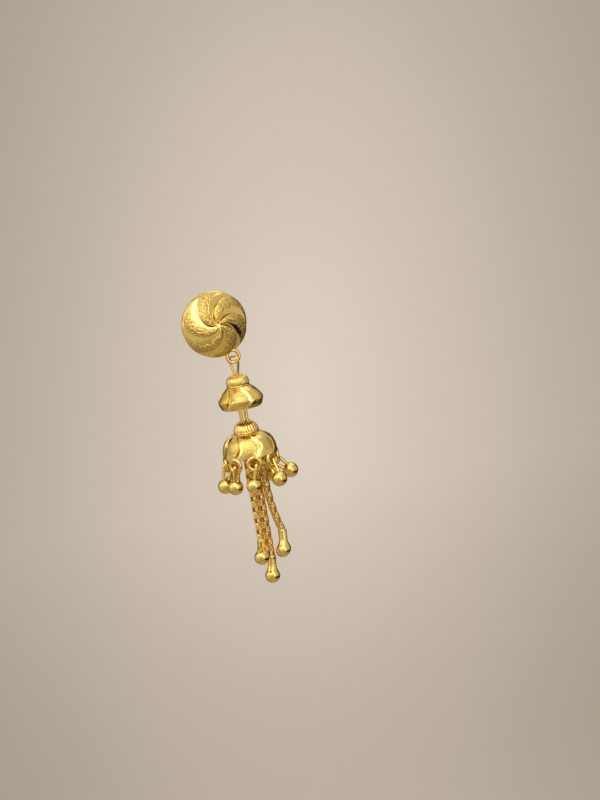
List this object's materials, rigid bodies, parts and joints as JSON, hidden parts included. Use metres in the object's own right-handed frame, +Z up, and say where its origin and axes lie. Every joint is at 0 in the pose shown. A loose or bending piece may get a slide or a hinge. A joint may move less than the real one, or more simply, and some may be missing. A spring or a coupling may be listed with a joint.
{
  "type": "jhumka earring",
  "caption": "Drop earring with a swirl-cut domed ear stud, two small panelled bells hung one below the other, bead drops round the lower rim and box chains ending in pear drops.",
  "frame": {"origin": "middle of the stud's back face, where the post enters the ear", "axes": "+Z up; the stud faces -Y and its post runs back along +Y; the drops hang towards -Z; +X is to the right seen from the front"},
  "size_m": [0.0136, 0.0161, 0.0458],
  "materials": {
    "cut_gold": "bright-cut scoops with engraved texture between them",
    "fluted_gold": "polished, fluted",
    "polished_gold": "polished",
    "chain_gold": "polished links"
  },
  "bodies": {
    "ear_stud": {"stud": "cut_gold", "ear_post": "polished_gold"},
    "upper_drop": {"upper_bail": "polished_gold", "upper_cap": "fluted_gold", "upper_bell": "cut_gold"},
    "lower_drop": {"lower_bail": "polished_gold", "lower_cap": "fluted_gold", "lower_bell": "cut_gold", "bead_drop_1": "polished_gold", "bead_drop_2": "polished_gold", "bead_drop_3": "polished_gold", "bead_drop_4": "polished_gold", "bead_drop_5": "polished_gold", "bead_drop_6": "polished_gold", "bead_drop_7": "polished_gold", "bead_drop_8": "polished_gold", "chain_1": "chain_gold", "chain_2": "chain_gold", "chain_3": "chain_gold", "pear_drop_1": "polished_gold", "pear_drop_2": "polished_gold", "pear_drop_3": "polished_gold"}
  },
  "joints": [
    {"name": "upper_drop_swing", "type": "hinge", "parent": "ear_stud", "child": "upper_drop", "pos_m": [0.00194, -0.00045, -0.00624], "axis": [1, 0, 0], "range_deg": [-30, 30]},
    {"name": "lower_drop_swing", "type": "hinge", "parent": "upper_drop", "child": "lower_drop", "pos_m": [0.00194, -0.00045, -0.0121], "axis": [0, 1, 0], "range_deg": [-30, 30]}
  ]
}
